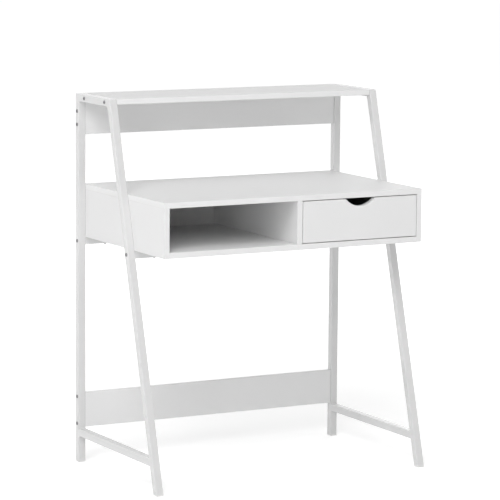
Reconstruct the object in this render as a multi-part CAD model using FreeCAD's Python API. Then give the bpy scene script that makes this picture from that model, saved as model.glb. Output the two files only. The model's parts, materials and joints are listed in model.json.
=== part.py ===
import FreeCAD, Part
import math
import os

from FreeCAD import Placement, Rotation, Vector

# A white ladder desk, in millimetres: +Z up, +Y to the rear, and the origin on the floor
# at the middle of the frame's footprint. Two leaning side frames of square steel tube carry
# a shelf, two back panels and a box with an open cubby on the left and a drawer on the right.

# Side frames
frame_width = 802.0
frame_depth = 485.0
frame_height = 992.0
frame_top_depth = 206.5
tube_size = 20.0
tube_wall = 1.2
tube_corner_radius = 1.5
stretcher_lift = 71.5

# Foot glides
glide_thickness = 4.0
glide_plug_length = 16.0
glide_chamfer = 1.0
glide_play = 0.15
glide_fin_count = 3
glide_fin_reach = 1.4
glide_fin_thickness = 1.2

# Boards
board_thickness = 15.0
board_easing = 0.6
panel_height = 93.5
lower_panel_lift = 95.0

# Desk box
shelf_rise = 240.0
box_height = 142.5
box_front_setback = 2.5
box_rear_setback = 7.5
cubby_width = 370.0

# Drawer
drawer_gap = 2.0
drawer_wall = 12.0
drawer_rear_room = 45.0
drawer_top_room = 22.0
drawer_lift = 12.0
drawer_bottom_thickness = 3.0
drawer_bottom_lift = 8.0
groove_depth = 6.0
groove_play = 0.2
finger_cut_width = 88.0
finger_cut_depth = 20.0
finger_cut_shoulder = 6.0

# Roller runners of folded sheet
runner_space = 12.5
rail_sheet = 1.2
rail_bend_radius = 0.5
rail_front_gap = 3.0
channel_reach = 9.7
drawer_flange_reach = 9.0
drawer_wrap_width = 10.0
flange_play = 1.0
stop_radius = 3.0
stop_width = 5.0
stop_play = 0.5
roller_radius = 8.0
roller_width = 6.0
roller_edge_round = 1.0
roller_hub_radius = 3.6
roller_rim_thickness = 1.8
roller_recess = 1.2
roller_track_gap = 0.3
roller_free_gap = 0.5
roller_setback = 12.0
least_roller_spacing = 73.0
pin_radius = 2.0
pin_running_play = 0.05
pin_head_radius = 3.0
pin_head_thickness = 0.8

# Rail screws
rail_screw_radius = 1.75
rail_screw_length = 9.0
rail_screw_head_radius = 3.0
rail_screw_head_height = 0.8
drawer_rail_screw_lift = 4.0
rail_screw_shares = (0.12, 0.5, 0.88)

# Frame bolts with button heads and hexagon sockets, and the threads that they hold in
bolt_radius = 3.0
bolt_length = 35.0
bolt_head_radius = 4.7
bolt_head_height = 1.8
bolt_head_round = 1.2
bolt_socket_flats = 4.0
bolt_socket_depth = 1.2
bolt_hole_play = 0.25
bolt_tip_room = 2.0
insert_radius = 4.0
insert_length = 13.0
thread_play = 0.05
end_nut_length = 14.0
rear_shelf_bolt_inset = 53.5
front_shelf_bolt_inset = 31.0
upper_panel_bolt_shares = (0.283, 0.658)
lower_panel_bolt_shares = (0.107, 0.888)

# Screws that hold the box down on the cross tubes
box_screw_radius = 2.0
box_screw_bite = 12.0
box_screw_head_radius = 4.0
box_screw_head_height = 2.2
box_screw_inset = 60.0

# Cam fittings and dowels in the box and the drawer
cam_radius = 7.5
cam_depth = 12.0
cam_reach = 24.0
cam_slot_width = 1.6
cam_slot_depth = 2.0
drawer_cam_radius = 6.0
drawer_cam_depth = 9.0
cam_bolt_radius = 2.5
cam_bolt_neck_radius = 1.8
cam_bolt_head_radius = 2.8
cam_bolt_head_length = 3.0
cam_bolt_bite = 10.0
cam_bolt_hole_play = 0.6
dowel_radius = 4.0
dowel_face_bite = 10.0
dowel_end_bite = 20.0
fitting_play = 0.1
cam_place_shares = (0.12, 0.85)
dowel_place_shares = (0.22, 0.75)
back_dowel_shares = (0.3, 0.7)
drawer_cam_shares = (0.4, 0.82)

# Screws through the drawer's sides into its back
drawer_screw_radius = 2.0
drawer_screw_length = 38.0
drawer_screw_head_radius = 3.6
drawer_screw_head_height = 2.6
drawer_screw_shares = (0.45, 0.82)

# Every cut runs past the face that it breaks through by this much
cut_overrun = 5.0

# Places worked out from the sizes above
x_axis = Vector(1, 0, 0)
y_axis = Vector(0, 1, 0)
z_axis = Vector(0, 0, 1)
half_width = frame_width / 2
inner_half_width = half_width - tube_size
tube_middle_x = half_width - tube_size / 2
rear_face = frame_depth / 2
front_face = -frame_depth / 2
post_middle = rear_face - tube_size / 2
bar_middle = frame_height - tube_size / 2
bore_size = tube_size - 2 * tube_wall
leg_run = frame_depth - frame_top_depth
leg_level_depth = tube_size / math.cos(math.atan2(leg_run, frame_height))
trim_reach = 2 * (frame_width + frame_depth + frame_height)

desk_height = frame_height - shelf_rise
shelf_underside = frame_height - board_thickness
shelf_front = rear_face - frame_top_depth
upper_panel_low = shelf_underside - panel_height
box_low = desk_height - box_height
box_front = front_face + box_front_setback
box_rear = rear_face - box_rear_setback
back_front = box_rear - board_thickness
back_middle = box_rear - board_thickness / 2
top_underside = desk_height - board_thickness
floor_top = box_low + board_thickness
floor_middle = box_low + board_thickness / 2
side_inner = inner_half_width - board_thickness
side_middle = inner_half_width - board_thickness / 2
divider_left = cubby_width - side_inner
divider_right = divider_left + board_thickness
divider_middle = divider_left + board_thickness / 2
cross_tube_middle = box_low - tube_size / 2
box_screw_x = inner_half_width - box_screw_inset
rear_box_screw_y = (rear_face - tube_size + box_rear) / 2

drawer_middle = (divider_right + side_inner) / 2
drawer_front_left = divider_right + drawer_gap
drawer_front_right = side_inner - drawer_gap
drawer_front_low = floor_top + drawer_gap
drawer_front_high = top_underside - drawer_gap
drawer_front_back = box_front + board_thickness
drawer_rear = back_front - drawer_rear_room
rail_length = drawer_rear - drawer_front_back
drawer_side_low = floor_top + drawer_lift
drawer_side_high = top_underside - drawer_top_room
drawer_side_height = drawer_side_high - drawer_side_low
drawer_outer = side_inner - runner_space
drawer_inner = drawer_outer - drawer_wall
drawer_side_middle = drawer_outer - drawer_wall / 2
drawer_back_middle = drawer_rear - drawer_wall / 2
drawer_bottom_low = drawer_side_low + drawer_bottom_lift
drawer_bottom_high = drawer_bottom_low + drawer_bottom_thickness

channel_floor = drawer_side_low + roller_free_gap
cabinet_roller_height = channel_floor + roller_free_gap + roller_radius
drawer_roller_height = channel_floor + roller_track_gap + roller_radius
drawer_flange_low = cabinet_roller_height + roller_radius + roller_track_gap
drawer_flange_high = drawer_flange_low + rail_sheet
channel_ceiling = drawer_flange_high + flange_play
channel_middle = (channel_floor + channel_ceiling) / 2
cabinet_web = side_inner - rail_sheet
drawer_web = drawer_outer + rail_sheet
cabinet_rail_front = drawer_front_back + rail_front_gap
cabinet_roller_y = cabinet_rail_front + roller_setback
drawer_roller_y = drawer_rear - roller_setback
drawer_travel = drawer_roller_y - cabinet_roller_y - least_roller_spacing
stop_reach = math.sqrt((roller_radius + stop_radius) ** 2 - (roller_radius + roller_track_gap) ** 2)
stop_y = drawer_roller_y - drawer_travel - stop_reach - stop_play


def leg_front(height):
    """Front face of the leaning leg at a height."""
    return front_face + leg_run * height / frame_height


def leg_middle(height):
    """Middle of the leaning leg at a height."""
    return leg_front(height) + leg_level_depth / 2


def leg_point(height):
    """Point on the right leg's centre line at a height."""
    return Vector(tube_middle_x, leg_middle(height), height)


# Where each bolt crosses the side frame, as (y, z)
shelf_bolt_places = [
    (rear_face - rear_shelf_bolt_inset, bar_middle),
    (shelf_front + front_shelf_bolt_inset, bar_middle),
]
upper_panel_bolt_places = [
    (post_middle, upper_panel_low + share * panel_height) for share in upper_panel_bolt_shares
]
lower_panel_bolt_places = [
    (post_middle, lower_panel_lift + share * panel_height) for share in lower_panel_bolt_shares
]
front_cross_bolt_place = (leg_middle(cross_tube_middle), cross_tube_middle)
rear_cross_bolt_place = (post_middle, cross_tube_middle)


def block(low, high):
    """Box between two opposite corners."""
    size = high - low
    return Part.makeBox(size.x, size.y, size.z, low)


def sorted_block(corner, other):
    """Box between two opposite corners in any order."""
    bounds = FreeCAD.BoundBox(corner, other)
    return block(Vector(bounds.XMin, bounds.YMin, bounds.ZMin), Vector(bounds.XMax, bounds.YMax, bounds.ZMax))


def board(low, high):
    """Board between two corners, with all its edges eased."""
    blank = block(low, high)
    return blank.makeChamfer(board_easing, blank.Edges)


def rod(radius, start, direction, length):
    """Round bar, or the tool that drills its hole."""
    return Part.makeCylinder(radius, length, start, direction)


def mirrored(shape, middle=0):
    """The same shape on the other side of a plane across X."""
    return shape.mirror(Vector(middle, 0, 0), x_axis)


def both_sides(shapes):
    """Shapes of the right side with their copies on the left."""
    return shapes + [mirrored(shape) for shape in shapes]


def trim(shape, point, waste_side):
    """Cut away what lies beyond a plane."""
    waste = Part.makeBox(trim_reach, trim_reach, trim_reach, Vector(-trim_reach / 2, -trim_reach / 2, 0))
    waste.Placement = Placement(point, Rotation(z_axis, waste_side))
    return shape.cut(waste)


def square_bar(side, corner_radius, start, end):
    """Square bar along a centre line, with its four long edges rounded."""
    run = end - start
    bar = Part.makeBox(side, side, run.Length, Vector(-side / 2, -side / 2, 0))
    if corner_radius:
        long_edges = [edge for edge in bar.Edges if edge.BoundBox.ZLength > run.Length / 2]
        bar = bar.makeFillet(corner_radius, long_edges)
    bar.Placement = Placement(start, Rotation(z_axis, run))
    return bar


def square_tube(start, end):
    """Hollow square tube along a centre line."""
    return square_bar(tube_size, tube_corner_radius, start, end).cut(square_bar(bore_size, 0, start, end))


def frame_bolt_holes(places):
    """Holes that the frame bolts need across a tube of the right side frame."""
    start_x = inner_half_width - cut_overrun
    length = tube_size + 2 * cut_overrun
    return [rod(bolt_radius + bolt_hole_play, Vector(start_x, y, z), x_axis, length) for y, z in places]


def box_screw_holes(middle_y):
    """Holes through a cross tube for the screws that hold the box."""
    start_z = cross_tube_middle - tube_size / 2 - cut_overrun
    length = tube_size + 2 * cut_overrun
    start = Vector(box_screw_x, middle_y, start_z)
    return both_sides([rod(box_screw_radius + fitting_play, start, z_axis, length)])


# Planes of the two mitred corners at the top of the frame and of the leg's rear face
rear_corner = Vector(0, rear_face, frame_height)
rear_mitre = Vector(0, -tube_size, tube_size)
front_corner = Vector(0, leg_front(frame_height), frame_height)
bar_underside = frame_height - tube_size
front_inner_corner = Vector(0, leg_front(bar_underside) + leg_level_depth, bar_underside)
front_mitre = x_axis.cross(front_inner_corner - front_corner)
leg_rear_point = Vector(0, leg_front(0) + leg_level_depth, 0)
leg_rear_side = Vector(0, frame_height, -leg_run)


def rear_post():
    """Upright at the rear of the right side frame."""
    post = square_tube(
        Vector(tube_middle_x, post_middle, glide_thickness),
        Vector(tube_middle_x, post_middle, frame_height),
    )
    places = upper_panel_bolt_places + lower_panel_bolt_places + [rear_cross_bolt_place]
    return trim(post, rear_corner, rear_mitre).cut(frame_bolt_holes(places))


def front_leg():
    """Leaning leg at the front of the right side frame."""
    leg = square_tube(leg_point(-tube_size), leg_point(frame_height + tube_size))
    leg = trim(leg, Vector(0, 0, glide_thickness), -z_axis)
    return trim(leg, front_corner, front_mitre).cut(frame_bolt_holes([front_cross_bolt_place]))


def top_bar():
    """Short bar that closes the right side frame at the top, mitred at both ends."""
    bar = square_tube(
        Vector(tube_middle_x, leg_front(frame_height) - tube_size, bar_middle),
        Vector(tube_middle_x, rear_face, bar_middle),
    )
    bar = trim(bar, rear_corner, -rear_mitre)
    return trim(bar, front_corner, -front_mitre).cut(frame_bolt_holes(shelf_bolt_places))


def lower_stretcher():
    """Low bar between the leg and the post."""
    middle_z = stretcher_lift + tube_size / 2
    bar = square_tube(
        Vector(tube_middle_x, front_face, middle_z),
        Vector(tube_middle_x, rear_face - tube_size, middle_z),
    )
    return trim(bar, leg_rear_point, -leg_rear_side)


def cross_tube(middle_y, screw_y):
    """Tube from one side frame to the other under the box."""
    tube = square_tube(
        Vector(-inner_half_width, middle_y, cross_tube_middle),
        Vector(inner_half_width, middle_y, cross_tube_middle),
    )
    return tube.cut(box_screw_holes(screw_y))


def glide_plug(end, axis):
    """Plug in the end of a tube, with fins that grip the bore."""
    fin_size = bore_size - 2 * glide_play
    tip = end + axis * glide_plug_length
    core = square_bar(fin_size - 2 * glide_fin_reach, 0, end - axis * tube_size, tip)
    pitch = glide_plug_length / glide_fin_count
    fins = []
    for count in range(glide_fin_count):
        fin_end = tip - axis * (count * pitch)
        fins.append(square_bar(fin_size, 0, fin_end - axis * glide_fin_thickness, fin_end))
    return core.fuse(fins)


def glide(end, axis):
    """Plastic foot: a sole under the tube, level with the floor, and a plug in its bore."""
    tube_end = Vector(0, 0, glide_thickness)
    sole = square_bar(tube_size, tube_corner_radius, end - axis * (2 * tube_size), end + axis * tube_size)
    sole = trim(trim(sole, Vector(0, 0, 0), -z_axis), tube_end, z_axis)
    rim = [edge for edge in sole.Edges if edge.BoundBox.ZMax < glide_chamfer / 2]
    plug = trim(glide_plug(end, axis), tube_end, -z_axis)
    return sole.makeChamfer(glide_chamfer, rim).fuse(plug).removeSplitter()


def rear_glide():
    """Foot of the right rear post."""
    return glide(Vector(tube_middle_x, post_middle, glide_thickness), z_axis)


def front_glide():
    """Foot of the right leg."""
    return glide(leg_point(glide_thickness), (leg_point(frame_height) - leg_point(0)).normalize())


def frame_bolt(y, z):
    """Bolt that enters the right side frame from outside."""
    head = rod(bolt_head_radius, Vector(0, 0, 0), z_axis, bolt_head_height)
    rim = [edge for edge in head.Edges if edge.BoundBox.ZMin > bolt_head_height / 2]
    head = head.makeFillet(bolt_head_round, rim)
    first_corner = Vector(bolt_socket_flats / math.sqrt(3), 0, bolt_head_height)
    sixth_turn = 360 / 6
    corners = [Rotation(z_axis, sixth_turn * count).multVec(first_corner) for count in range(6)]
    socket = Part.Face(Part.makePolygon(corners + corners[:1])).extrude(-z_axis * bolt_socket_depth)
    bolt = head.cut(socket).fuse(rod(bolt_radius, Vector(0, 0, 0), -z_axis, bolt_length)).removeSplitter()
    bolt.Placement = Placement(Vector(half_width, y, z), Rotation(z_axis, x_axis))
    return bolt


def frame_bolts(places):
    """Bolts of both side frames at the same places."""
    return Part.makeCompound(both_sides([frame_bolt(y, z) for y, z in places]))


def insert_holes(places):
    """Holes in a board's two ends for threaded inserts and the tips of their bolts."""
    tip_depth = bolt_length - tube_size + bolt_tip_room
    holes = []
    for y, z in places:
        start = Vector(inner_half_width + cut_overrun, y, z)
        holes.append(rod(insert_radius + fitting_play, start, -x_axis, insert_length + cut_overrun))
        holes.append(rod(bolt_radius + bolt_hole_play, start, -x_axis, tip_depth + cut_overrun))
    return both_sides(holes)


def board_inserts():
    """Threaded inserts in the ends of the shelf and the back panels."""
    inserts = []
    for y, z in shelf_bolt_places + upper_panel_bolt_places + lower_panel_bolt_places:
        start = Vector(inner_half_width, y, z)
        sleeve = rod(insert_radius, start, -x_axis, insert_length)
        inserts.append(sleeve.cut(rod(bolt_radius + thread_play, start, -x_axis, insert_length)))
    return Part.makeCompound(both_sides(inserts))


def cross_tube_end_nuts():
    """Threaded blocks in the ends of the cross tubes."""
    nuts = []
    for y, z in (front_cross_bolt_place, rear_cross_bolt_place):
        end = Vector(inner_half_width, y, z)
        nut = square_bar(bore_size - 2 * fitting_play, 0, end - x_axis * end_nut_length, end)
        nuts.append(nut.cut(rod(bolt_radius + thread_play, end, -x_axis, end_nut_length)))
    return Part.makeCompound(both_sides(nuts))


def box_screw(y):
    """Screw up through a cross tube into the box."""
    start = Vector(box_screw_x, y, cross_tube_middle - tube_size / 2)
    head = rod(box_screw_head_radius, start, -z_axis, box_screw_head_height)
    return head.fuse(rod(box_screw_radius, start, z_axis, tube_size + box_screw_bite)).removeSplitter()


def box_screw_pilots(y):
    """Holes in the box for its two screws on one cross tube."""
    start = Vector(box_screw_x, y, box_low - cut_overrun)
    return both_sides([rod(box_screw_radius + fitting_play, start, z_axis, box_screw_bite + cut_overrun)])


class CamFitting:
    """Cam lock in one board's face that pulls on a bolt screwed into the other board."""

    def __init__(self, seam, into, face, thickness, radius, depth):
        middle = seam + into * cam_reach
        mouth = middle + face * (thickness / 2)
        slot_half = radius + cut_overrun
        bolt_start = seam - into * cam_bolt_bite
        hole_radius = cam_bolt_head_radius + cam_bolt_hole_play
        hole_start = seam - into * cut_overrun
        hole_length = cut_overrun + cam_reach
        passage = rod(hole_radius, hole_start, into, hole_length + cam_bolt_head_length)
        across = into.cross(face)
        slot_low = mouth - across * slot_half - into * (cam_slot_width / 2) - face * cam_slot_depth
        slot_high = mouth + across * slot_half + into * (cam_slot_width / 2) + face * cut_overrun
        slot = sorted_block(slot_low, slot_high)
        self.lock = rod(radius, mouth, -face, depth).cut([passage, slot])
        thread = rod(cam_bolt_radius, bolt_start, into, cam_bolt_bite)
        neck = rod(cam_bolt_neck_radius, bolt_start, into, cam_bolt_bite + cam_reach)
        head = rod(cam_bolt_head_radius, middle - into * cam_bolt_head_length, into, cam_bolt_head_length)
        self.bolt = thread.fuse([neck, head]).removeSplitter()
        pocket = rod(radius + fitting_play, mouth + face * cut_overrun, -face, depth + cut_overrun)
        pilot = rod(cam_bolt_radius + fitting_play, bolt_start, into, cam_bolt_bite + cut_overrun)
        self.cam_board_cuts = [pocket, rod(hole_radius, hole_start, into, hole_length)]
        self.bolt_board_cuts = [pilot]


def box_cam(seam, into, face):
    """Cam fitting of the desk box."""
    return CamFitting(seam, into, face, board_thickness, cam_radius, cam_depth)


def dowel(seam, into):
    """Wooden dowel across a seam."""
    return rod(dowel_radius, seam - into * dowel_face_bite, into, dowel_face_bite + dowel_end_bite)


def dowel_hole(seam, into):
    """Hole in both boards for a dowel."""
    start = seam - into * dowel_face_bite
    return rod(dowel_radius + fitting_play, start, into, dowel_face_bite + dowel_end_bite)


def box_place(share):
    """Distance from front to rear along the box's depth."""
    return box_front + share * (back_front - box_front)


# Cam fittings of the box, the side ones on the right side only
cam_ys = [box_place(share) for share in cam_place_shares]
side_top_cams = [box_cam(Vector(side_middle, y, top_underside), -z_axis, -x_axis) for y in cam_ys]
side_floor_cams = [box_cam(Vector(side_inner, y, floor_middle), -x_axis, -z_axis) for y in cam_ys]
divider_cams = [box_cam(Vector(divider_middle, y, top_underside), -z_axis, x_axis) for y in cam_ys]

# Seams that dowels cross, as (point, direction into the board that takes the dowel's long end)
dowel_ys = [box_place(share) for share in dowel_place_shares]
side_top_seams = [(Vector(side_middle, y, top_underside), -z_axis) for y in dowel_ys]
side_floor_seams = [(Vector(side_inner, y, floor_middle), -x_axis) for y in dowel_ys]
side_back_seams = [
    (Vector(side_inner, back_middle, box_low + share * (top_underside - box_low)), -x_axis)
    for share in back_dowel_shares
]
divider_top_seams = [(Vector(divider_middle, y, top_underside), -z_axis) for y in dowel_ys]
divider_floor_seams = [(Vector(divider_middle, y, floor_top), z_axis) for y in dowel_ys]


def dowel_holes(seams):
    """Holes for the dowels of several seams."""
    return [dowel_hole(seam, into) for seam, into in seams]


def bolt_board_cuts(cams):
    """Holes of the boards that cam bolts are screwed into."""
    return [cut for cam in cams for cut in cam.bolt_board_cuts]


def cam_board_cuts(cams):
    """Pockets and passages of the boards that hold cam locks."""
    return [cut for cam in cams for cut in cam.cam_board_cuts]


def top_shelf():
    """Shelf between the top bars."""
    shelf = board(
        Vector(-inner_half_width, shelf_front, shelf_underside),
        Vector(inner_half_width, rear_face, frame_height),
    )
    return shelf.cut(insert_holes(shelf_bolt_places))


def back_panel(low, places):
    """Panel between the rear posts, on their middle line."""
    half = board_thickness / 2
    panel = board(
        Vector(-inner_half_width, post_middle - half, low),
        Vector(inner_half_width, post_middle + half, low + panel_height),
    )
    return panel.cut(insert_holes(places))


def desk_top():
    """Writing surface, over the sides of the box."""
    top = board(
        Vector(-inner_half_width, box_front, top_underside),
        Vector(inner_half_width, box_rear, desk_height),
    )
    cuts = both_sides(bolt_board_cuts(side_top_cams) + dowel_holes(side_top_seams))
    return top.cut(cuts + bolt_board_cuts(divider_cams) + dowel_holes(divider_top_seams))


def box_floor():
    """Bottom board of the box, between its sides."""
    floor = board(
        Vector(-side_inner, box_front, box_low),
        Vector(side_inner, back_front, floor_top),
    )
    cuts = both_sides(cam_board_cuts(side_floor_cams) + dowel_holes(side_floor_seams))
    return floor.cut(cuts + dowel_holes(divider_floor_seams) + box_screw_pilots(front_cross_bolt_place[0]))


def box_side():
    """Right side of the box, without the holes for the runner."""
    side = board(
        Vector(side_inner, box_front, box_low),
        Vector(inner_half_width, box_rear, top_underside),
    )
    cuts = cam_board_cuts(side_top_cams) + bolt_board_cuts(side_floor_cams)
    return side.cut(cuts + dowel_holes(side_top_seams + side_floor_seams + side_back_seams))


def box_divider():
    """Upright between the cubby and the drawer."""
    divider = board(
        Vector(divider_left, box_front, floor_top),
        Vector(divider_right, back_front, top_underside),
    )
    cuts = cam_board_cuts(divider_cams) + dowel_holes(divider_top_seams + divider_floor_seams)
    return divider.cut(cuts + [mirrored(hole, drawer_middle) for hole in cabinet_rail_pilots()])


def box_back():
    """Back of the box, standing on the rear cross tube."""
    back = board(
        Vector(-side_inner, back_front, box_low),
        Vector(side_inner, box_rear, top_underside),
    )
    return back.cut(both_sides(dowel_holes(side_back_seams)) + box_screw_pilots(rear_box_screw_y))


def box_cams():
    """Every cam fitting of the box as (locks, bolts)."""
    side_cams = side_top_cams + side_floor_cams
    locks = both_sides([cam.lock for cam in side_cams]) + [cam.lock for cam in divider_cams]
    bolts = both_sides([cam.bolt for cam in side_cams]) + [cam.bolt for cam in divider_cams]
    return Part.makeCompound(locks), Part.makeCompound(bolts)


def box_dowels():
    """Every dowel of the box."""
    sides = [dowel(seam, into) for seam, into in side_top_seams + side_floor_seams + side_back_seams]
    middle = [dowel(seam, into) for seam, into in divider_top_seams + divider_floor_seams]
    return Part.makeCompound(both_sides(sides) + middle)


def drawer_height(share):
    """Height of a place on the drawer's side."""
    return drawer_side_low + share * drawer_side_height


# Cam fittings that hold the drawer's right side to its front
drawer_side_cams = [
    CamFitting(
        Vector(drawer_side_middle, drawer_front_back, drawer_height(share)),
        y_axis, -x_axis, drawer_wall, drawer_cam_radius, drawer_cam_depth,
    )
    for share in drawer_cam_shares
]


def on_both_walls(shapes):
    """Shapes at the drawer's right wall with their copies at its left wall."""
    return shapes + [mirrored(shape, drawer_middle) for shape in shapes]


def bottom_groove():
    """Space that the drawer's bottom needs in the boards round it."""
    half = drawer_inner - drawer_middle + groove_depth + groove_play
    groove_front = drawer_front_back - groove_depth - groove_play
    return block(
        Vector(drawer_middle - half, groove_front, drawer_bottom_low - groove_play),
        Vector(drawer_middle + half, drawer_rear + cut_overrun, drawer_bottom_high + groove_play),
    )


def drawer_front():
    """Inset front with a half-moon finger cut-out in its upper edge."""
    front = block(
        Vector(drawer_front_left, box_front, drawer_front_low),
        Vector(drawer_front_right, drawer_front_back, drawer_front_high),
    )
    half_cut = finger_cut_width / 2
    cut_radius = (half_cut ** 2 + finger_cut_depth ** 2) / (2 * finger_cut_depth)
    cut_middle = Vector(
        drawer_middle, box_front - cut_overrun, drawer_front_high - finger_cut_depth + cut_radius
    )
    front = front.cut(rod(cut_radius, cut_middle, y_axis, board_thickness + 2 * cut_overrun))
    shoulders = [
        edge for edge in front.Edges
        if edge.BoundBox.YLength > board_thickness / 2
        and edge.BoundBox.ZMin > drawer_front_high - board_easing
        and abs(edge.BoundBox.Center.x - drawer_middle) < finger_cut_width
    ]
    front = front.makeFillet(finger_cut_shoulder, shoulders)
    rim = [edge for edge in front.Edges if edge.BoundBox.YMax < box_front + board_easing]
    front = front.makeChamfer(board_easing, rim)
    cuts = on_both_walls(bolt_board_cuts(drawer_side_cams))
    return front.cut(cuts + [bottom_groove()])


def drawer_side():
    """Right side of the drawer."""
    side = board(
        Vector(drawer_inner, drawer_front_back, drawer_side_low),
        Vector(drawer_outer, drawer_rear, drawer_side_high),
    )
    cuts = cam_board_cuts(drawer_side_cams) + drawer_screw_holes() + drawer_rail_pilots()
    return side.cut(cuts + [bottom_groove()])


def drawer_back():
    """Back of the drawer, over its bottom."""
    left = 2 * drawer_middle - drawer_inner
    back = board(
        Vector(left, drawer_rear - drawer_wall, drawer_bottom_high),
        Vector(drawer_inner, drawer_rear, drawer_side_high),
    )
    return back.cut(on_both_walls(drawer_screw_holes()))


def drawer_bottom():
    """Thin bottom in the grooves of the front and the sides."""
    half = drawer_inner - drawer_middle + groove_depth
    return block(
        Vector(drawer_middle - half, drawer_front_back - groove_depth, drawer_bottom_low),
        Vector(drawer_middle + half, drawer_rear, drawer_bottom_high),
    )


def drawer_screw_places():
    """Where the screws enter the drawer's right side."""
    return [Vector(drawer_outer, drawer_back_middle, drawer_height(share)) for share in drawer_screw_shares]


def drawer_screw(start):
    """Screw through the drawer's right side into its back, flush with the side."""
    head = rod(drawer_screw_head_radius, start, -x_axis, drawer_screw_head_height)
    return head.fuse(rod(drawer_screw_radius, start, -x_axis, drawer_screw_length)).removeSplitter()


def drawer_screw_holes():
    """Holes for the screws of the drawer's right side."""
    holes = []
    for place in drawer_screw_places():
        start = place + x_axis * cut_overrun
        head_depth = drawer_screw_head_height + fitting_play + cut_overrun
        depth = drawer_screw_length + cut_overrun
        holes.append(rod(drawer_screw_head_radius + fitting_play, start, -x_axis, head_depth))
        holes.append(rod(drawer_screw_radius + fitting_play, start, -x_axis, depth))
    return holes


def edges_along(shape, corners):
    """Long edges of a rail that run through the given (x, z) corners."""
    found = []
    for edge in shape.Edges:
        middle = edge.BoundBox.Center
        is_long = edge.BoundBox.YLength > rail_length / 2
        if is_long and any(math.hypot(middle.x - x, middle.z - z) < rail_sheet / 2 for x, z in corners):
            found.append(edge)
    return found


def folded_rail(outline, inner_folds, outer_folds, front):
    """Rail of folded sheet: an outline of (x, z) points drawn out along Y and rounded at its folds."""
    points = [Vector(x, front, z) for x, z in outline]
    rail = Part.Face(Part.makePolygon(points + points[:1])).extrude(y_axis * rail_length)
    rail = rail.makeFillet(rail_bend_radius, edges_along(rail, inner_folds))
    return rail.makeFillet(rail_bend_radius + rail_sheet, edges_along(rail, outer_folds))


def with_stop(rail, mouth):
    """Press a half-round stop into the channel's floor, which the drawer's roller meets when it is out."""
    start = Vector(mouth, stop_y, channel_floor)
    half_round = trim(rod(stop_radius, start, x_axis, stop_width), start, -z_axis)
    hollow = rod(stop_radius - rail_sheet, start, x_axis, stop_width)
    return rail.fuse(half_round).cut(hollow).removeSplitter()


def cabinet_rail():
    """Channel on the box's right side, open towards the drawer."""
    mouth = side_inner - channel_reach
    low = channel_floor - rail_sheet
    high = channel_ceiling + rail_sheet
    inner_folds = [(cabinet_web, channel_ceiling), (cabinet_web, channel_floor)]
    outer_folds = [(side_inner, low), (side_inner, high)]
    outline = [
        (mouth, low), *outer_folds, (mouth, high),
        (mouth, channel_ceiling), *inner_folds, (mouth, channel_floor),
    ]
    rail = with_stop(folded_rail(outline, inner_folds, outer_folds, cabinet_rail_front), mouth)
    pin_hole = rod(
        pin_radius + fitting_play,
        Vector(cabinet_web - cut_overrun, cabinet_roller_y, cabinet_roller_height),
        x_axis, rail_sheet + 2 * cut_overrun,
    )
    return rail.cut(cabinet_rail_pilots() + [pin_hole])


def drawer_rail():
    """Rail on the drawer's right side: a flange that rolls and a lip under the side."""
    lip = drawer_outer - drawer_wrap_width
    tip = drawer_outer + drawer_flange_reach
    low = drawer_side_low - rail_sheet
    outline = [
        (lip, low), (drawer_web, low), (drawer_web, drawer_flange_low), (tip, drawer_flange_low),
        (tip, drawer_flange_high), (drawer_outer, drawer_flange_high), (drawer_outer, drawer_side_low),
        (lip, drawer_side_low),
    ]
    inner_folds = [(drawer_web, drawer_flange_low), (drawer_outer, drawer_side_low)]
    outer_folds = [(drawer_web, low), (drawer_outer, drawer_flange_high)]
    rail = folded_rail(outline, inner_folds, outer_folds, drawer_front_back)
    pin_hole = rod(
        pin_radius + fitting_play,
        Vector(drawer_outer - cut_overrun, drawer_roller_y, drawer_roller_height),
        x_axis, rail_sheet + 2 * cut_overrun,
    )
    return rail.cut(drawer_rail_pilots() + [pin_hole])


def roller(side_x, y, z):
    """Nylon roller that turns on its pin, with a thinner web between its rim and its hub."""
    bore = pin_radius + pin_running_play
    hub = roller_hub_radius
    rim = roller_radius - roller_rim_thickness
    half_outline = [
        (0, bore), (0, hub), (roller_recess, hub), (roller_recess, rim), (0, rim), (0, roller_radius),
    ]
    other_half = [(roller_width - depth, radius) for depth, radius in reversed(half_outline)]
    points = [Vector(side_x - depth, y, z + radius) for depth, radius in half_outline + other_half]
    wheel = Part.Face(Part.makePolygon(points + points[:1])).revolve(Vector(side_x, y, z), x_axis, 360)
    rims = [
        edge for edge in wheel.Edges
        if edge.BoundBox.XLength < roller_width / 2 and edge.BoundBox.ZLength > rim + roller_radius
    ]
    return wheel.makeFillet(roller_edge_round, rims)


def roller_pin(start, direction):
    """Pin riveted in a rail, with a head that keeps the roller on."""
    length = rail_sheet + roller_width + 2 * roller_free_gap
    head = rod(pin_head_radius, start + direction * length, direction, pin_head_thickness)
    return rod(pin_radius, start, direction, length).fuse(head).removeSplitter()


def cabinet_roller():
    """Roller at the front of the channel, under the drawer's flange."""
    return roller(cabinet_web - roller_free_gap, cabinet_roller_y, cabinet_roller_height)


def drawer_roller():
    """Roller at the rear of the drawer's rail, inside the channel."""
    return roller(drawer_web + roller_free_gap + roller_width, drawer_roller_y, drawer_roller_height)


def rail_screw(start, direction):
    """Pan-head screw with its head on a rail, pointing into the board behind it."""
    head = rod(rail_screw_head_radius, start, -direction, rail_screw_head_height)
    shank = rod(rail_screw_radius, start, direction, rail_sheet + rail_screw_length)
    return head.fuse(shank).removeSplitter()


def rail_screw_hole(start, direction):
    """Hole in a rail and in the board behind it."""
    return rod(rail_screw_radius + fitting_play, start, direction, rail_sheet + rail_screw_length)


def cabinet_rail_screw_places():
    """Where the screws of the right channel sit."""
    ys = [cabinet_rail_front + share * rail_length for share in rail_screw_shares]
    return [Vector(cabinet_web, y, channel_middle) for y in ys]


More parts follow.
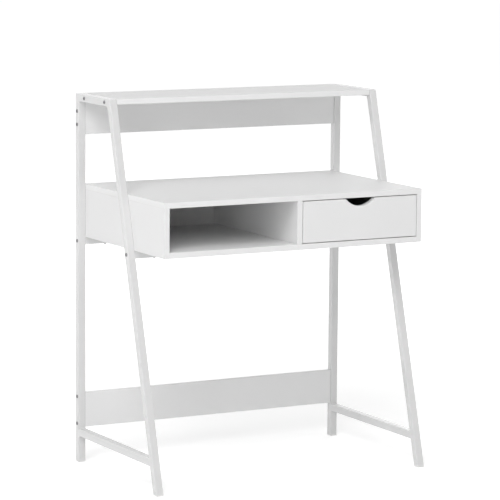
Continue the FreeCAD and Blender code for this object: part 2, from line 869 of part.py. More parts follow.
def drawer_rail_screw_places():
    """Where the screws of the right drawer rail sit."""
    ys = [drawer_front_back + share * rail_length for share in rail_screw_shares]
    return [Vector(drawer_web, y, drawer_side_low + drawer_rail_screw_lift) for y in ys]


def cabinet_rail_pilots():
    """Holes for the screws of the right channel."""
    return [rail_screw_hole(place, x_axis) for place in cabinet_rail_screw_places()]


def drawer_rail_pilots():
    """Holes for the screws of the right drawer rail."""
    return [rail_screw_hole(place, -x_axis) for place in drawer_rail_screw_places()]


def frame_nodes():
    """Tubes, feet and bolts of the frame."""
    right = {
        "rear_post": rear_post(),
        "front_leg": front_leg(),
        "top_bar": top_bar(),
        "lower_stretcher": lower_stretcher(),
        "rear_foot_glide": rear_glide(),
        "front_foot_glide": front_glide(),
    }
    nodes = {}
    for name, shape in right.items():
        nodes["right_" + name] = shape
        nodes["left_" + name] = mirrored(shape)
    front_y = front_cross_bolt_place[0]
    nodes["front_cross_tube"] = cross_tube(front_y, front_y)
    nodes["rear_cross_tube"] = cross_tube(post_middle, rear_box_screw_y)
    nodes["shelf_bolts"] = frame_bolts(shelf_bolt_places)
    nodes["upper_panel_bolts"] = frame_bolts(upper_panel_bolt_places)
    nodes["lower_panel_bolts"] = frame_bolts(lower_panel_bolt_places)
    nodes["cross_tube_bolts"] = frame_bolts([front_cross_bolt_place, rear_cross_bolt_place])
    nodes["cross_tube_end_nuts"] = cross_tube_end_nuts()
    nodes["board_inserts"] = board_inserts()
    return nodes


def board_nodes():
    """Shelf, panels and desk box with its fittings."""
    side = box_side()
    locks, bolts = box_cams()
    return {
        "top_shelf": top_shelf(),
        "upper_back_panel": back_panel(upper_panel_low, upper_panel_bolt_places),
        "lower_back_panel": back_panel(lower_panel_lift, lower_panel_bolt_places),
        "desk_top": desk_top(),
        "box_floor": box_floor(),
        "box_right_side": side.cut(cabinet_rail_pilots()),
        "box_left_side": mirrored(side),
        "box_divider": box_divider(),
        "box_back": box_back(),
        "box_cam_locks": locks,
        "box_cam_bolts": bolts,
        "box_dowels": box_dowels(),
        "box_fixing_screws": Part.makeCompound(
            both_sides([box_screw(front_cross_bolt_place[0]), box_screw(rear_box_screw_y)])
        ),
    }


def drawer_nodes():
    """Drawer, runners and rollers."""
    right = {
        "drawer_side": drawer_side(),
        "cabinet_rail": cabinet_rail(),
        "drawer_rail": drawer_rail(),
        "cabinet_roller": cabinet_roller(),
        "drawer_roller": drawer_roller(),
    }
    nodes = {}
    for name, shape in right.items():
        nodes["right_" + name] = shape
        nodes["left_" + name] = mirrored(shape, drawer_middle)
    cabinet_pin = roller_pin(Vector(side_inner, cabinet_roller_y, cabinet_roller_height), -x_axis)
    drawer_pin = roller_pin(Vector(drawer_outer, drawer_roller_y, drawer_roller_height), x_axis)
    cabinet_screws = [rail_screw(place, x_axis) for place in cabinet_rail_screw_places()]
    drawer_rail_screws = [rail_screw(place, -x_axis) for place in drawer_rail_screw_places()]
    back_screws = [drawer_screw(place) for place in drawer_screw_places()]
    groups = {
        "cabinet_roller_pins": [cabinet_pin],
        "drawer_roller_pins": [drawer_pin],
        "cabinet_rail_screws": cabinet_screws,
        "drawer_rail_screws": drawer_rail_screws,
        "drawer_back_screws": back_screws,
        "drawer_cam_locks": [cam.lock for cam in drawer_side_cams],
        "drawer_cam_bolts": [cam.bolt for cam in drawer_side_cams],
    }
    for name, shapes in groups.items():
        nodes[name] = Part.makeCompound(on_both_walls(shapes))
    nodes["drawer_front"] = drawer_front()
    nodes["drawer_back"] = drawer_back()
    nodes["drawer_bottom"] = drawer_bottom()
    return nodes


os.makedirs("parts", exist_ok=True)
for node, shape in {**frame_nodes(), **board_nodes(), **drawer_nodes()}.items():
    print(node, len(shape.Solids), shape.isValid(), round(shape.Volume))
    shape.exportStep("parts/" + node + ".step")
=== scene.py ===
import json
import math

import bpy
from mathutils import Matrix, Vector


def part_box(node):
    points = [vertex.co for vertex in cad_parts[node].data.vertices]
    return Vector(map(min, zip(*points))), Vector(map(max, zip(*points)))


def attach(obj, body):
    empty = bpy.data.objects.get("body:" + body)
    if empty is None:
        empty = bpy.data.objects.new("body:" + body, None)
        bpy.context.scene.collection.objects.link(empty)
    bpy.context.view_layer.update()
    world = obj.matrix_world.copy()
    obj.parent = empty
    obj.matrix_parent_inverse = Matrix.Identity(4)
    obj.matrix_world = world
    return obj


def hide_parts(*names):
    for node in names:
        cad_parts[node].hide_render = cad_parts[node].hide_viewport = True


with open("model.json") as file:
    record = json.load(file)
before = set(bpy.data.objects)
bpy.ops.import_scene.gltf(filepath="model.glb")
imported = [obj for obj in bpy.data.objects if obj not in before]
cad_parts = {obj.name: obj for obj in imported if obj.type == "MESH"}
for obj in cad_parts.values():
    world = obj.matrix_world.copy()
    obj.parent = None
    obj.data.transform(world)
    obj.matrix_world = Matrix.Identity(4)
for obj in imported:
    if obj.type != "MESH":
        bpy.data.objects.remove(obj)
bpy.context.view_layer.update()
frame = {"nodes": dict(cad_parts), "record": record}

# Looks of a white ladder desk, in metres: +Z up, +Y to the rear, the sitter at -Y.

MM = 0.001

# Camera, resected from the photograph's straight edges
CAMERA_TARGET = Vector((-0.0040, 0.0, 0.5801))
CAMERA_DISTANCE = 7.5343
CAMERA_AZIMUTH = math.radians(28.672)
CAMERA_PITCH = math.radians(7.976)
CAMERA_ROLL = math.radians(0.469)
CAMERA_LENS = 204.20

# Sockets of a Mix node for colours, which share their names with those for other types
MIX_SHARE = 0
MIX_FIRST = 6
MIX_SECOND = 7
MIX_RESULT = 2

# How squarely a surface faces a direction, from 0 to 1: to look that way, and to be an edge band's seam
FACING_SHARE = 0.9
SEAM_SHARE = 0.3

# Meshes
SMOOTH_ANGLE = math.radians(35.0)
MERGE_DISTANCE = 0.001 * MM
LEVEL_SLACK = 0.5 * MM

# Painted weld beads round the ends of the stretchers, nearly flush on the frame's flat sides
WELD_SIDES = 14
WELD_RADIUS = 2.4 * MM
FLUSH_WELD_RADIUS = 1.3 * MM
FLUSH_WELD_DEPTH = 0.9 * MM
WELD_END_GAP = 2.0 * MM
WELD_RIPPLES = 6
WELD_CREST = 1.14
WELD_END_SHARE = 0.45

# How a plain screw is measured: its head's rim, its least shank, and the head's place at one end
RIM_SHARE = 0.98
LEAST_SHANK_SHARE = 0.25
HEAD_SLACK = 0.1 * MM

# Screws with cross recesses, rounded heads and points
SCREW_SIDES = 32
HEAD_ROUND_SHARE = 0.45
HEAD_ROUND_STEPS = 4
RECESS_LENGTH_SHARE = 1.1
RECESS_WIDTH_SHARE = 0.26
RECESS_DEPTH_SHARE = 0.7
RECESS_TAPER = 0.6
TIP_LENGTH_SHARE = 1.5
TIP_WIDTH_SHARE = 0.12
RECESSED_SCREWS = {
    # node: (body, slot)
    "box_fixing_screws": ("desk", "bolt_steel"),
    "cabinet_rail_screws": ("desk", "fitting_zinc"),
    "drawer_rail_screws": ("drawer", "fitting_zinc"),
    "drawer_back_screws": ("drawer", "fitting_zinc"),
}

# The axis that each white board's broad faces look along
BOARD_FACE_AXES = {
    "Z": ("top_shelf", "desk_top", "box_floor"),
    "X": ("box_left_side", "box_right_side", "box_divider", "left_drawer_side", "right_drawer_side"),
    "Y": ("upper_back_panel", "lower_back_panel", "box_back", "drawer_front", "drawer_back"),
}

# Studio
FLOOR_HALF_SIZE = 60.0
FLOOR_COLOUR = 0.85
FLOOR_GLOW_NEAR = 0.40
FLOOR_GLOW_FAR = 0.66
FLOOR_GLOW_REACH = 4.4
SKY_LEVEL = 0.62
LAMP_AIM = Vector((0.0, 0.0, 0.6))
LAMPS = {
    # name: (place, width, watts)
    "key_lamp": ((-4.4, -5.2, 4.6), 3.6, 168.0),
    "high_lamp": ((-3.4, -3.6, 6.4), 3.6, 143.0),
    "left_lamp": ((-6.5, 0.6, 1.8), 3.6, 24.0),
    "low_lamp": ((-5.0, -5.6, 1.2), 3.0, 75.0),
    "right_lamp": ((6.0, -3.5, 2.2), 3.6, 62.0),
    "rear_left_lamp": ((-5.2, 4.2, 1.4), 3.0, 40.0),
    "rear_right_lamp": ((5.2, 4.6, 1.6), 3.0, 100.0),
}


class Value:
    """A number that changes over a surface; arithmetic on it adds Math nodes."""

    def __init__(self, nodes, socket):
        self.nodes = nodes
        self.socket = socket

    def maths(self, operation, first, second):
        return self.nodes.value("ShaderNodeMath", {"operation": operation}, {0: first, 1: second})

    def __add__(self, other):
        return self.maths("ADD", self, other)

    def __radd__(self, other):
        return self.maths("ADD", other, self)

    def __sub__(self, other):
        return self.maths("SUBTRACT", self, other)

    def __rsub__(self, other):
        return self.maths("SUBTRACT", other, self)

    def __mul__(self, other):
        return self.maths("MULTIPLY", self, other)

    def __rmul__(self, other):
        return self.maths("MULTIPLY", other, self)

    def __gt__(self, other):
        return self.maths("GREATER_THAN", self, other)

    def __or__(self, other):
        return self.maths("MAXIMUM", self, other)

    def __ror__(self, other):
        return self.maths("MAXIMUM", other, self)

    def __abs__(self):
        return self.nodes.value("ShaderNodeMath", {"operation": "ABSOLUTE"}, {0: self})


class Nodes:
    """A node tree that is filled one node at a time."""

    def __init__(self, owner):
        owner.use_nodes = True
        self.tree = owner.node_tree
        self.tree.nodes.clear()

    def node(self, kind, settings=None, sockets=None):
        """Add a node: its settings first, then the values or links of its sockets."""
        node = self.tree.nodes.new(kind)
        for setting, value in (settings or {}).items():
            setattr(node, setting, value)
        for key, value in (sockets or {}).items():
            source = value.socket if isinstance(value, Value) else value
            if isinstance(source, bpy.types.NodeSocket):
                self.tree.links.new(source, node.inputs[key])
            else:
                node.inputs[key].default_value = source
        return node

    def link(self, kind, settings=None, sockets=None, output=0):
        """Add a node and take one of its outputs as a link."""
        return self.node(kind, settings, sockets).outputs[output]

    def value(self, kind, settings=None, sockets=None, output=0):
        """Add a node and take one number from it."""
        return Value(self, self.link(kind, settings, sockets, output))

    def seen_directly(self):
        """1 for camera, glossy and transmission rays, 0 for the rest."""
        path = self.node("ShaderNodeLightPath")
        camera, glossy, transmitted = (
            Value(self, path.outputs[f"Is {ray} Ray"]) for ray in ("Camera", "Glossy", "Transmission")
        )
        return camera | glossy | transmitted


class Finish(Nodes):
    """A material with a Principled shader."""

    def __init__(self, name, **constants):
        self.material = bpy.data.materials.new(name)
        super().__init__(self.material)
        sockets = {socket.replace("_", " "): value for socket, value in constants.items()}
        self.shader = self.node("ShaderNodeBsdfPrincipled", {}, sockets)
        self.node("ShaderNodeOutputMaterial", {}, {"Surface": self.shader.outputs[0]})
        coordinates = self.node("ShaderNodeTexCoord")
        self.place = coordinates.outputs["Object"]
        self.facing = coordinates.outputs["Normal"]

    def noise(self, per_metre, detail, stretch=(1.0, 1.0, 1.0)):
        """Cloudy value about 0.5, with so many features per metre."""
        place = self.link("ShaderNodeMapping", {}, {"Vector": self.place, "Scale": stretch})
        sockets = {"Vector": place, "Scale": per_metre, "Detail": detail}
        return self.value("ShaderNodeTexNoise", {}, sockets)

    def cells(self, per_metre):
        """Distance from the middle of small cells, with so many per metre."""
        sockets = {"Vector": self.place, "Scale": per_metre}
        return self.value("ShaderNodeTexVoronoi", {"feature": "F1"}, sockets, "Distance")

    def facing_along(self, axis):
        """How squarely the surface faces along an axis: 1 with it, -1 against it."""
        return self.value("ShaderNodeSeparateXYZ", {}, {0: self.facing}, axis)

    def mix(self, share, first, second):
        """Colour between two others."""
        sockets = {MIX_SHARE: share, MIX_FIRST: self.colour(first), MIX_SECOND: self.colour(second)}
        return self.link("ShaderNodeMix", {"data_type": "RGBA"}, sockets, MIX_RESULT)

    def colour(self, colour):
        """A plain colour with its alpha, or a link as it is."""
        return (*colour, 1.0) if isinstance(colour, tuple) else colour

    def feed(self, **links):
        """Drive the shader's sockets by values or colours."""
        for socket, source in links.items():
            source = source.socket if isinstance(source, Value) else source
            self.tree.links.new(source, self.shader.inputs[socket.replace("_", " ")])

    def relief(self, height, depth):
        """Bump of a height from 0 to 1, so many metres deep."""
        self.feed(Normal=self.link("ShaderNodeBump", {}, {"Height": height, "Distance": depth}))


def grey(level):
    """A colour with no hue."""
    return (level, level, level)


def powder_coat():
    """White powder coat on the tubes: a glossy skin over the faint orange peel of baked powder."""
    finish = Finish("frame_paint", IOR=1.5, Specular_IOR_Level=0.5, Coat_Weight=1.0, Coat_Roughness=0.12)
    peel = finish.noise(per_metre=620.0, detail=1.5)
    grain = finish.noise(per_metre=2600.0, detail=1.0)
    cloud = finish.noise(per_metre=5.0, detail=3.0)
    finish.feed(
        Base_Color=finish.mix(0.7 * cloud + 0.3 * grain, grey(0.67), grey(0.71)),
        Roughness=0.28 + 0.10 * peel + 0.06 * cloud,
    )
    finish.relief(peel, depth=0.32 * MM)
    return finish.material


def faced_board(face_axis):
    """White melamine-faced board: pearl texture on its two faces and a smooth band round its edges."""
    finish = Finish("white_board_" + face_axis.lower(), IOR=1.45, Specular_IOR_Level=0.25)
    squareness = abs(finish.facing_along(face_axis))
    face = squareness > FACING_SHARE
    seam = (squareness > SEAM_SHARE) * (1 - face)
    pearl = finish.noise(per_metre=950.0, detail=2.0)
    pores = finish.noise(per_metre=4200.0, detail=1.0)
    cloud = finish.noise(per_metre=4.0, detail=3.0)
    melamine = finish.mix(0.6 * cloud + 0.4 * pearl, grey(0.82), grey(0.85))
    edge_band = grey(0.845)
    glue_line = (0.72, 0.72, 0.71)
    banded = finish.mix(face, edge_band, melamine)
    finish.feed(
        Base_Color=finish.mix(0.5 * seam, banded, glue_line),
        Roughness=0.33 + (0.14 * pearl + 0.06 * pores) * face + 0.05 * cloud,
    )
    finish.relief(pearl * face, depth=0.34 * MM)
    return finish.material


def thin_fibreboard():
    """Drawer bottom: white lacquer on the upper face, bare brown fibre elsewhere."""
    finish = Finish("drawer_bottom_board", IOR=1.5)
    lacquer = finish.facing_along("Z") > FACING_SHARE
    fibre = finish.noise(per_metre=700.0, detail=4.0)
    fleck = finish.noise(per_metre=2400.0, detail=2.0, stretch=(1.0, 0.25, 1.0))
    cloud = finish.noise(per_metre=6.0, detail=3.0)
    white = finish.mix(cloud, (0.79, 0.79, 0.78), (0.83, 0.83, 0.82))
    brown = finish.mix(0.6 * fibre + 0.4 * fleck, (0.20, 0.12, 0.07), (0.36, 0.24, 0.15))
    finish.feed(
        Base_Color=finish.mix(lacquer, brown, white),
        Roughness=0.72 - 0.28 * lacquer + 0.08 * fibre,
    )
    finish.relief(0.5 * fibre + 0.5 * fleck, depth=0.20 * MM)
    return finish.material


def moulded_plastic():
    """White foot glides with the fine grain of a spark-eroded mould."""
    finish = Finish("glide_plastic", IOR=1.48)
    grain = finish.noise(per_metre=3000.0, detail=2.0)
    scuff = finish.noise(per_metre=160.0, detail=3.0, stretch=(1.0, 1.0, 0.3))
    finish.feed(
        Base_Color=finish.mix(scuff, (0.74, 0.74, 0.73), (0.82, 0.82, 0.81)),
        Roughness=0.42 + 0.14 * grain + 0.08 * scuff,
    )
    finish.relief(grain, depth=0.12 * MM)
    return finish.material


def dark_bolt_steel():
    """Dark zinc-plated button heads, slightly mottled."""
    finish = Finish("bolt_steel", Metallic=1.0)
    mottle = finish.noise(per_metre=900.0, detail=3.0)
    scratch = finish.noise(per_metre=2600.0, detail=2.0, stretch=(0.2, 1.0, 1.0))
    finish.feed(
        Base_Color=finish.mix(mottle, (0.17, 0.17, 0.175), (0.29, 0.29, 0.295)),
        Roughness=0.30 + 0.18 * scratch,
    )
    finish.relief(scratch, depth=0.04 * MM)
    return finish.material


def runner_epoxy():
    """White epoxy on the folded runners, rubbed along their length."""
    finish = Finish("runner_paint", IOR=1.52)
    peel = finish.noise(per_metre=800.0, detail=1.5)
    rub = finish.noise(per_metre=90.0, detail=3.0, stretch=(1.0, 0.15, 1.0))
    finish.feed(
        Base_Color=finish.mix(rub, (0.74, 0.74, 0.72), (0.80, 0.80, 0.785)),
        Roughness=0.26 + 0.12 * peel + 0.06 * rub,
    )
    finish.relief(peel, depth=0.20 * MM)
    return finish.material


def nylon():
    """Natural nylon rollers, with faint rings from the track."""
    scatter = (2.0 * MM, 2.0 * MM, 1.5 * MM)
    finish = Finish("roller_nylon", IOR=1.53, Subsurface_Weight=0.08, Subsurface_Radius=scatter)
    rings = finish.noise(per_metre=2200.0, detail=1.0, stretch=(1.0, 0.02, 0.02))
    cloud = finish.noise(per_metre=140.0, detail=2.0)
    finish.feed(
        Base_Color=finish.mix(0.5 * rings + 0.5 * cloud, (0.70, 0.69, 0.64), (0.80, 0.79, 0.75)),
        Roughness=0.38 + 0.16 * rings,
    )
    finish.relief(rings, depth=0.06 * MM)
    return finish.material


def zinc():
    """Bright zinc on screws, pins, cams and inserts."""
    finish = Finish("fitting_zinc", Metallic=1.0)
    spangle = finish.cells(per_metre=700.0)
    bloom = finish.noise(per_metre=420.0, detail=3.0)
    finish.feed(
        Base_Color=finish.mix(0.5 * spangle + 0.5 * bloom, (0.50, 0.51, 0.53), (0.68, 0.69, 0.70)),
        Roughness=0.26 + 0.20 * bloom,
    )
    finish.relief(bloom, depth=0.08 * MM)
    return finish.material


def beech():
    """Dowels of beech with its short dark flecks."""
    finish = Finish("dowel_wood", IOR=1.5)
    grain = finish.noise(per_metre=380.0, detail=3.0, stretch=(0.12, 1.0, 0.12))
    fleck = finish.noise(per_metre=2200.0, detail=1.0, stretch=(0.3, 1.0, 0.3))
    finish.feed(
        Base_Color=finish.mix(0.7 * grain + 0.3 * fleck, (0.58, 0.39, 0.22), (0.76, 0.58, 0.38)),
        Roughness=0.55 + 0.15 * fleck,
    )
    finish.relief(grain, depth=0.15 * MM)
    return finish.material


def dress_frame():
    """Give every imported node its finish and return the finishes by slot."""
    finishes = {
        "frame_paint": powder_coat(),
        "drawer_bottom_board": thin_fibreboard(),
        "glide_plastic": moulded_plastic(),
        "bolt_steel": dark_bolt_steel(),
        "runner_paint": runner_epoxy(),
        "roller_nylon": nylon(),
        "fitting_zinc": zinc(),
        "dowel_wood": beech(),
    }
    boards = {}
    for axis, names in BOARD_FACE_AXES.items():
        board = faced_board(axis)
        boards.update({name: board for name in names})
    for part in frame["record"]["subparts"]:
        node = frame["nodes"][part["node"]]
        node.data.materials.clear()
        node.data.materials.append(boards.get(part["node"]) or finishes[part["material_slot"]])
    return finishes


def start_piece():
    """Leave nothing selected, so that the next operator acts on the new piece alone."""
    bpy.ops.object.select_all(action="DESELECT")


def pick(piece):
    """Select a piece and make it the active one."""
    piece.select_set(True)
    bpy.context.view_layer.objects.active = piece


def apply_place():
    """Move the place, turn and scale of what is selected into its mesh."""
    bpy.ops.object.transform_apply(location=True, rotation=True, scale=True)


def own_copy(piece):
    """Copy of a piece with a mesh of its own, selected and active."""
    copy = piece.copy()
    copy.data = piece.data.copy()
    bpy.context.scene.collection.objects.link(copy)
    pick(copy)
    return copy


def edit(kind, test=None):
    """Open the new mesh for editing with the parts of a kind selected that pass a test."""
    bpy.ops.object.mode_set(mode="EDIT")
    bpy.ops.mesh.select_mode(type=kind)
    bpy.ops.mesh.select_all(action="DESELECT" if test else "SELECT")
    bpy.ops.object.mode_set(mode="OBJECT")
    mesh = bpy.context.object.data
    parts = {"VERT": mesh.vertices, "EDGE": mesh.edges, "FACE": mesh.polygons}[kind]
    for part in parts:
        part.select = test is None or test(mesh, part)
    bpy.ops.object.mode_set(mode="EDIT")


def end_edit():
    """Close the mesh that is being edited."""
    bpy.ops.object.mode_set(mode="OBJECT")


def faces_towards(direction):
    """Test for the faces that look along a direction."""
    return lambda mesh, face: face.normal.dot(direction) > FACING_SHARE


def edges_at_height(height, slack):
    """Test for the edges that lie level at a height."""
    return lambda mesh, edge: all(abs(mesh.vertices[end].co.z - height) < slack for end in edge.vertices)


def edges_along_x(least):
    """Test for the edges that reach further along X than a length."""

    def test(mesh, edge):
        start, end = (mesh.vertices[index].co.x for index in edge.vertices)
        return abs(start - end) > least

    return test


def placed_copies(template, placements):
    """Copies of a modelled piece, each with its own mesh, joined into one."""
    start_piece()
    for placement in placements:
        own_copy(template).matrix_world = placement
    bpy.data.objects.remove(template)
    apply_place()
    bpy.ops.object.join()
    return bpy.context.object


def finish_piece(piece, name, body, finish):
    """Name a piece, smooth it and give it its body and its finish."""
    piece.name = name
    piece.data.name = name
    piece.data.materials.clear()
    piece.data.materials.append(finish)
    bpy.ops.object.shade_smooth_by_angle(angle=SMOOTH_ANGLE)
    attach(piece, body)


def weld_bead(length, radius):
    """One bead along X: a round bar divided into ripples, with its ends drawn in."""
    start_piece()
    bpy.ops.mesh.primitive_cylinder_add(
        vertices=WELD_SIDES, radius=radius, depth=length, rotation=(0.0, math.pi / 2, 0.0)
    )
    apply_place()
    bead = bpy.context.object
    steps = 2 * WELD_RIPPLES
    step = length / steps
    edit("EDGE", edges_along_x(length / 2))
    bpy.ops.mesh.subdivide(number_cuts=steps - 1)
    end_edit()
    for ring in range(steps + 1):
        ring_x = ring * step - length / 2
        if ring in (0, steps):
            width = WELD_END_SHARE
        else:
            width = WELD_CREST if ring % 2 else 1.0
        edit("VERT", lambda mesh, vertex: abs(vertex.co.x - ring_x) < step / 2)
        bpy.ops.transform.resize(value=(1.0, width, width))
        end_edit()
    edit("FACE", lambda mesh, face: abs(face.normal.x) > FACING_SHARE)
    bpy.ops.mesh.inset(thickness=radius * WELD_END_SHARE / 2)
    end_edit()
    return bead


def between(start, end):
    """Placement that lays a piece modelled along X between two points, at their middle."""
    turn = (end - start).to_track_quat("X", "Z").to_matrix().to_4x4()
    return Matrix.Translation((start + end) / 2) @ turn


def frame_welds(side, finish):
    """Beads round both ends of one side frame's stretcher."""
    stretcher = frame["nodes"][side + "_lower_stretcher"]
    low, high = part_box(side + "_lower_stretcher")
    points = [vertex.co for vertex in stretcher.data.vertices]
    ends = {}
    for height in (low.z, high.z):
        level = [point.y for point in points if abs(point.z - height) < LEVEL_SLACK]
        ends[height] = (min(level), max(level))
    corner_beads = []
    flush_beads = []
    for end in range(2):
        for height in (low.z, high.z):
            corner_beads.append(between(
                Vector((low.x, ends[height][end], height)), Vector((high.x, ends[height][end], height))
            ))
        for x in (low.x + FLUSH_WELD_DEPTH, high.x - FLUSH_WELD_DEPTH):
            flush_beads.append(between(
                Vector((x, ends[low.z][end], low.z)), Vector((x, ends[high.z][end], high.z))
            ))
    length = high.x - low.x - 2 * WELD_END_GAP
    corners = placed_copies(weld_bead(length, WELD_RADIUS), corner_beads)
    flush = placed_copies(weld_bead(length, FLUSH_WELD_RADIUS), flush_beads)
    corners.select_set(True)
    bpy.ops.object.join()
    finish_piece(flush, side + "_frame_welds", "desk", finish)


def solids_of(node):
    """Corner points of each separate solid of a node, from a merged copy of its mesh."""
    start_piece()
    own_copy(frame["nodes"][node])
    edit("VERT")
    bpy.ops.mesh.remove_doubles(threshold=MERGE_DISTANCE)
    bpy.ops.mesh.separate(type="LOOSE")
    end_edit()
    loose = list(bpy.context.selected_objects)
    solids = [[vertex.co.copy() for vertex in piece.data.vertices] for piece in loose]
    for piece in loose:
        bpy.data.objects.remove(piece)
    return solids


def measure_screw(points):
    """Placement of a screw with its head's top at the origin and its tip along -Z, and its four sizes."""
    low = Vector(map(min, zip(*points)))
    high = Vector(map(max, zip(*points)))
    size = high - low
    axis = max(range(3), key=lambda index: size[index])
    middle = (low + high) / 2
    across = [index for index in range(3) if index != axis]
    radii = [math.hypot(*(point[index] - middle[index] for index in across)) for point in points]
    head_radius = max(radii)
    head = [point[axis] for point, radius in zip(points, radii) if radius > RIM_SHARE * head_radius]
    shank_radius = min(radius for radius in radii if radius > LEAST_SHANK_SHARE * head_radius)
    head_up = high[axis] - max(head) < HEAD_SLACK
    direction = Vector((0.0, 0.0, 0.0))
    direction[axis] = 1.0 if head_up else -1.0
    top = middle.copy()
    top[axis] = high[axis] if head_up else low[axis]
    turn = direction.to_track_quat("Z", "Y").to_matrix().to_4x4()
    sizes = (head_radius, max(head) - min(head), shank_radius, size[axis])
    return Matrix.Translation(top) @ turn, sizes


def join_by_boolean(piece, tool, operation):
    """Add a tool to a piece, or cut it away, and delete the tool."""
    start_piece()
    pick(piece)
    modifier = piece.modifiers.new("shape", "BOOLEAN")
    modifier.operation = operation
    modifier.object = tool
    bpy.ops.object.modifier_apply(modifier=modifier.name)
    bpy.data.objects.remove(tool)


def cross_recess(head_radius, head_height):
    """Cutter for a cross recess: two crossed bars that narrow downwards."""
    length = RECESS_LENGTH_SHARE * head_radius
    width = RECESS_WIDTH_SHARE * head_radius
    depth = RECESS_DEPTH_SHARE * head_height
    bars = []
    for turn in (0.0, math.pi / 2):
        start_piece()
        bpy.ops.mesh.primitive_cube_add(size=1.0, rotation=(0.0, 0.0, turn))
        bar = bpy.context.object
        bar.scale = (length, width, 2 * depth)
        apply_place()
        edit("FACE", faces_towards(Vector((0.0, 0.0, -1.0))))
        bpy.ops.transform.resize(value=(RECESS_TAPER, RECESS_TAPER, 1.0))
        end_edit()
        bars.append(bar)
    join_by_boolean(bars[0], bars[1], "UNION")
    return bars[0]


def pan_head_screw(head_radius, head_height, shank_radius, length):
    """Screw with a rounded head, a cross recess and a pointed tip, its head's top at the origin."""
    start_piece()
    bpy.ops.mesh.primitive_cylinder_add(
        vertices=SCREW_SIDES, radius=head_radius, depth=head_height, location=(0.0, 0.0, -head_height / 2)
    )
    apply_place()
    screw = bpy.context.object
    edit("EDGE", edges_at_height(0.0, head_height / 4))
    bpy.ops.mesh.bevel(offset=HEAD_ROUND_SHARE * head_height, segments=HEAD_ROUND_STEPS)
    end_edit()
    edit("FACE", faces_towards(Vector((0.0, 0.0, -1.0))))
    bpy.ops.mesh.inset(thickness=head_radius - shank_radius)
    tip_length = TIP_LENGTH_SHARE * shank_radius
    straight = length - head_height - tip_length
    bpy.ops.mesh.extrude_region_move(TRANSFORM_OT_translate={"value": (0.0, 0.0, -straight)})
    bpy.ops.mesh.extrude_region_move(TRANSFORM_OT_translate={"value": (0.0, 0.0, -tip_length)})
    bpy.ops.transform.resize(value=(TIP_WIDTH_SHARE, TIP_WIDTH_SHARE, 1.0))
    end_edit()
    join_by_boolean(screw, cross_recess(head_radius, head_height), "DIFFERENCE")
    return screw


def recessed_screws(node, body, finish):
    """Screws with cross recesses in the places of a node's plain ones."""
    measured = [measure_screw(points) for points in solids_of(node)]
    template = pan_head_screw(*measured[0][1])
    screws = placed_copies(template, [placement for placement, _ in measured])
    finish_piece(screws, node + "_recessed", body, finish)
    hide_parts(node)


def set_camera():
    """Camera at the photograph's view."""
    azimuth, pitch = CAMERA_AZIMUTH, CAMERA_PITCH
    forward = Vector((
        math.sin(azimuth) * math.cos(pitch), math.cos(azimuth) * math.cos(pitch), -math.sin(pitch)
    ))
    level_right = Vector((math.cos(azimuth), -math.sin(azimuth), 0.0))
    level_up = level_right.cross(forward)
    right = level_right * math.cos(CAMERA_ROLL) + level_up * math.sin(CAMERA_ROLL)
    up = right.cross(forward)
    place = CAMERA_TARGET - forward * CAMERA_DISTANCE
    turn = Matrix((right, up, -forward)).transposed().to_4x4()
    data = bpy.data.cameras.new("photo_camera")
    data.lens = CAMERA_LENS
    data.clip_end = 4 * FLOOR_HALF_SIZE
    camera = bpy.data.objects.new("photo_camera", data)
    camera.matrix_world = Matrix.Translation(place) @ turn
    bpy.context.scene.collection.objects.link(camera)
    bpy.context.scene.camera = camera


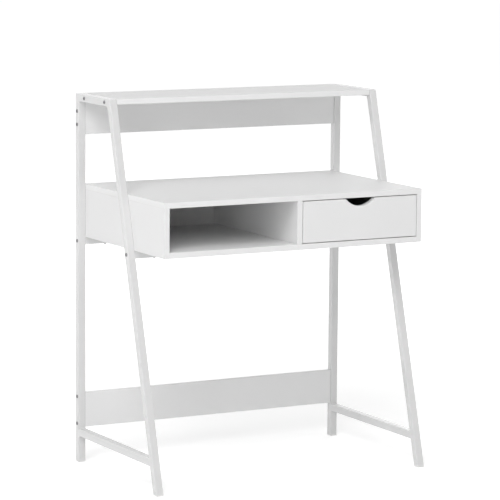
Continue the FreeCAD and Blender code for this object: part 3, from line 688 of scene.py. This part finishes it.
def set_world():
    """Soft light from above, seen as white."""
    world = bpy.data.worlds.new("studio")
    nodes = Nodes(world)
    white = (*grey(1.0), 1.0)
    direction = nodes.link("ShaderNodeTexCoord", {}, {}, "Generated")
    height = nodes.value("ShaderNodeSeparateXYZ", {}, {0: direction}, "Z")
    level = SKY_LEVEL * (height | 0.0)
    light = nodes.link("ShaderNodeBackground", {}, {"Color": white, "Strength": level})
    seen = nodes.link("ShaderNodeBackground", {}, {"Color": white, "Strength": 1.0})
    both = nodes.link("ShaderNodeMixShader", {}, {0: nodes.seen_directly(), 1: light, 2: seen})
    nodes.node("ShaderNodeOutputWorld", {}, {"Surface": both})
    bpy.context.scene.world = world


def set_floor():
    """White floor that keeps the desk's soft shadow and glows a little more with the distance."""
    start_piece()
    bpy.ops.mesh.primitive_plane_add(size=2 * FLOOR_HALF_SIZE)
    floor = bpy.context.object
    floor.name = "studio_floor"
    material = bpy.data.materials.new("studio_floor")
    nodes = Nodes(material)
    paint = nodes.link("ShaderNodeBsdfDiffuse", {}, {"Color": (*grey(FLOOR_COLOUR), 1.0)})
    place = nodes.link("ShaderNodeTexCoord", {}, {}, "Object")
    reach = nodes.value("ShaderNodeVectorMath", {"operation": "LENGTH"}, {0: place}, "Value")
    levels = {"From Max": FLOOR_GLOW_REACH, "To Min": FLOOR_GLOW_NEAR, "To Max": FLOOR_GLOW_FAR}
    level = nodes.value("ShaderNodeMapRange", {}, {"Value": reach, **levels})
    glow = nodes.link("ShaderNodeEmission", {}, {"Strength": level * nodes.seen_directly()})
    both = nodes.link("ShaderNodeAddShader", {}, {0: paint, 1: glow})
    nodes.node("ShaderNodeOutputMaterial", {}, {"Surface": both})
    floor.data.materials.append(material)


def set_lamps():
    """Large soft lamps round the desk."""
    for name, (place, width, watts) in LAMPS.items():
        data = bpy.data.lights.new(name, "AREA")
        data.shape = "DISK"
        data.size = width
        data.energy = watts
        lamp = bpy.data.objects.new(name, data)
        lamp.location = place
        lamp.rotation_mode = "QUATERNION"
        lamp.rotation_quaternion = (LAMP_AIM - Vector(place)).to_track_quat("-Z", "Y")
        bpy.context.scene.collection.objects.link(lamp)


finishes = dress_frame()
for side in ("left", "right"):
    frame_welds(side, finishes["frame_paint"])
for node, (body, slot) in RECESSED_SCREWS.items():
    recessed_screws(node, body, finishes[slot])
set_camera()
set_world()
set_floor()
set_lamps()
bpy.context.scene.view_settings.view_transform = "Standard"
